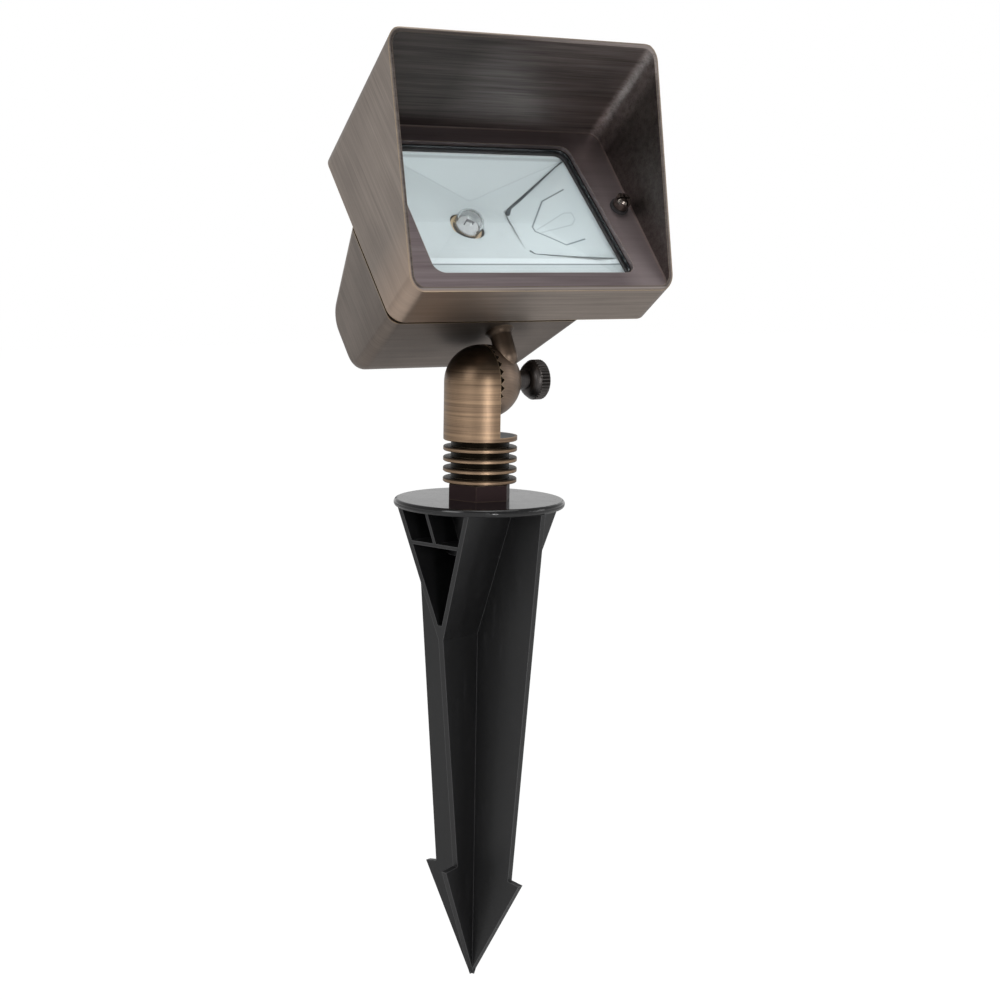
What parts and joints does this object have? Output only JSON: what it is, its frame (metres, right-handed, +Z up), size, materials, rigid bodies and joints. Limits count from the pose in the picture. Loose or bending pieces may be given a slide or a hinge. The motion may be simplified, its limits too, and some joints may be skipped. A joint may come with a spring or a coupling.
{
  "type": "landscape floodlight",
  "caption": "Garden floodlight with a hooded rectangular lamp head on a toothed tilting knuckle, a ringed threaded stem and a barbed ground spike.",
  "frame": {"origin": "on the stem's axis at the underside of the spike's flange, where the ground surface lies", "axes": "+Z up along the stem and spike, +X along the tilt pin towards the thumb screw, -Y the way the lamp looks"},
  "size_m": [0.1398, 0.0929, 0.4227],
  "materials": {
    "bronze": "aged bronze, brushed satin",
    "spike_plastic": "satin black, moulded",
    "lens_glass": "clear, polished",
    "gasket_rubber": "matte black",
    "reflector_aluminium": "bright, semi-specular",
    "screw_steel": "satin, darkened",
    "dark_steel": "dark gunmetal, satin",
    "capsule_glass": "clear, polished",
    "ceramic": "unglazed steatite",
    "bracket_steel": "zinc plated",
    "lead_sleeve": "woven glass sleeve",
    "nut_brass": "plain turned"
  },
  "bodies": {
    "ground_spike": {"spike": "spike_plastic"},
    "stem_body": {"stem": "bronze", "cable_grommet": "gasket_rubber"},
    "head": {"knuckle_arm": "bronze", "arm_nipple": "nut_brass", "arm_seal": "gasket_rubber", "arm_locknut": "nut_brass", "housing": "bronze", "shroud": "bronze", "bezel_screws": "screw_steel", "bezel_washers": "gasket_rubber", "lens": "lens_glass", "lens_gasket": "gasket_rubber", "rear_gasket": "gasket_rubber", "reflector": "reflector_aluminium", "end_plate": "reflector_aluminium", "lamp_capsule": "capsule_glass", "lamp_pins": "bracket_steel", "lamp_holder": "ceramic", "holder_bracket": "bracket_steel", "holder_screws": "screw_steel", "bracket_screws": "screw_steel", "lamp_leads": "lead_sleeve"},
    "clamp": {"clamp_washer": "dark_steel"},
    "screw": {"thumb_screw": "dark_steel"}
  },
  "joints": [
    {"name": "stem_pan", "type": "hinge", "parent": "ground_spike", "child": "stem_body", "pos_m": [0, 0, 0.0035], "axis": [0, 0, 1], "range_deg": [-180, 180]},
    {"name": "head_tilt", "type": "hinge", "parent": "stem_body", "child": "head", "pos_m": [0, 0, 0.0555], "axis": [1, 0, 0], "range_deg": [-49, 71]},
    {"name": "clamp_slide", "type": "slide", "parent": "head", "child": "clamp", "axis": [1, 0, 0], "range_m": [0, 0.0025]},
    {"name": "screw_turn", "type": "hinge", "parent": "clamp", "child": "screw", "pos_m": [0.0182, 0, 0.0555], "axis": [1, 0, 0], "range_deg": [0, 720]}
  ],
  "couplings": [
    {"joint": "screw_turn", "follows": "clamp_slide", "rad_per_m": 5026.5}
  ]
}
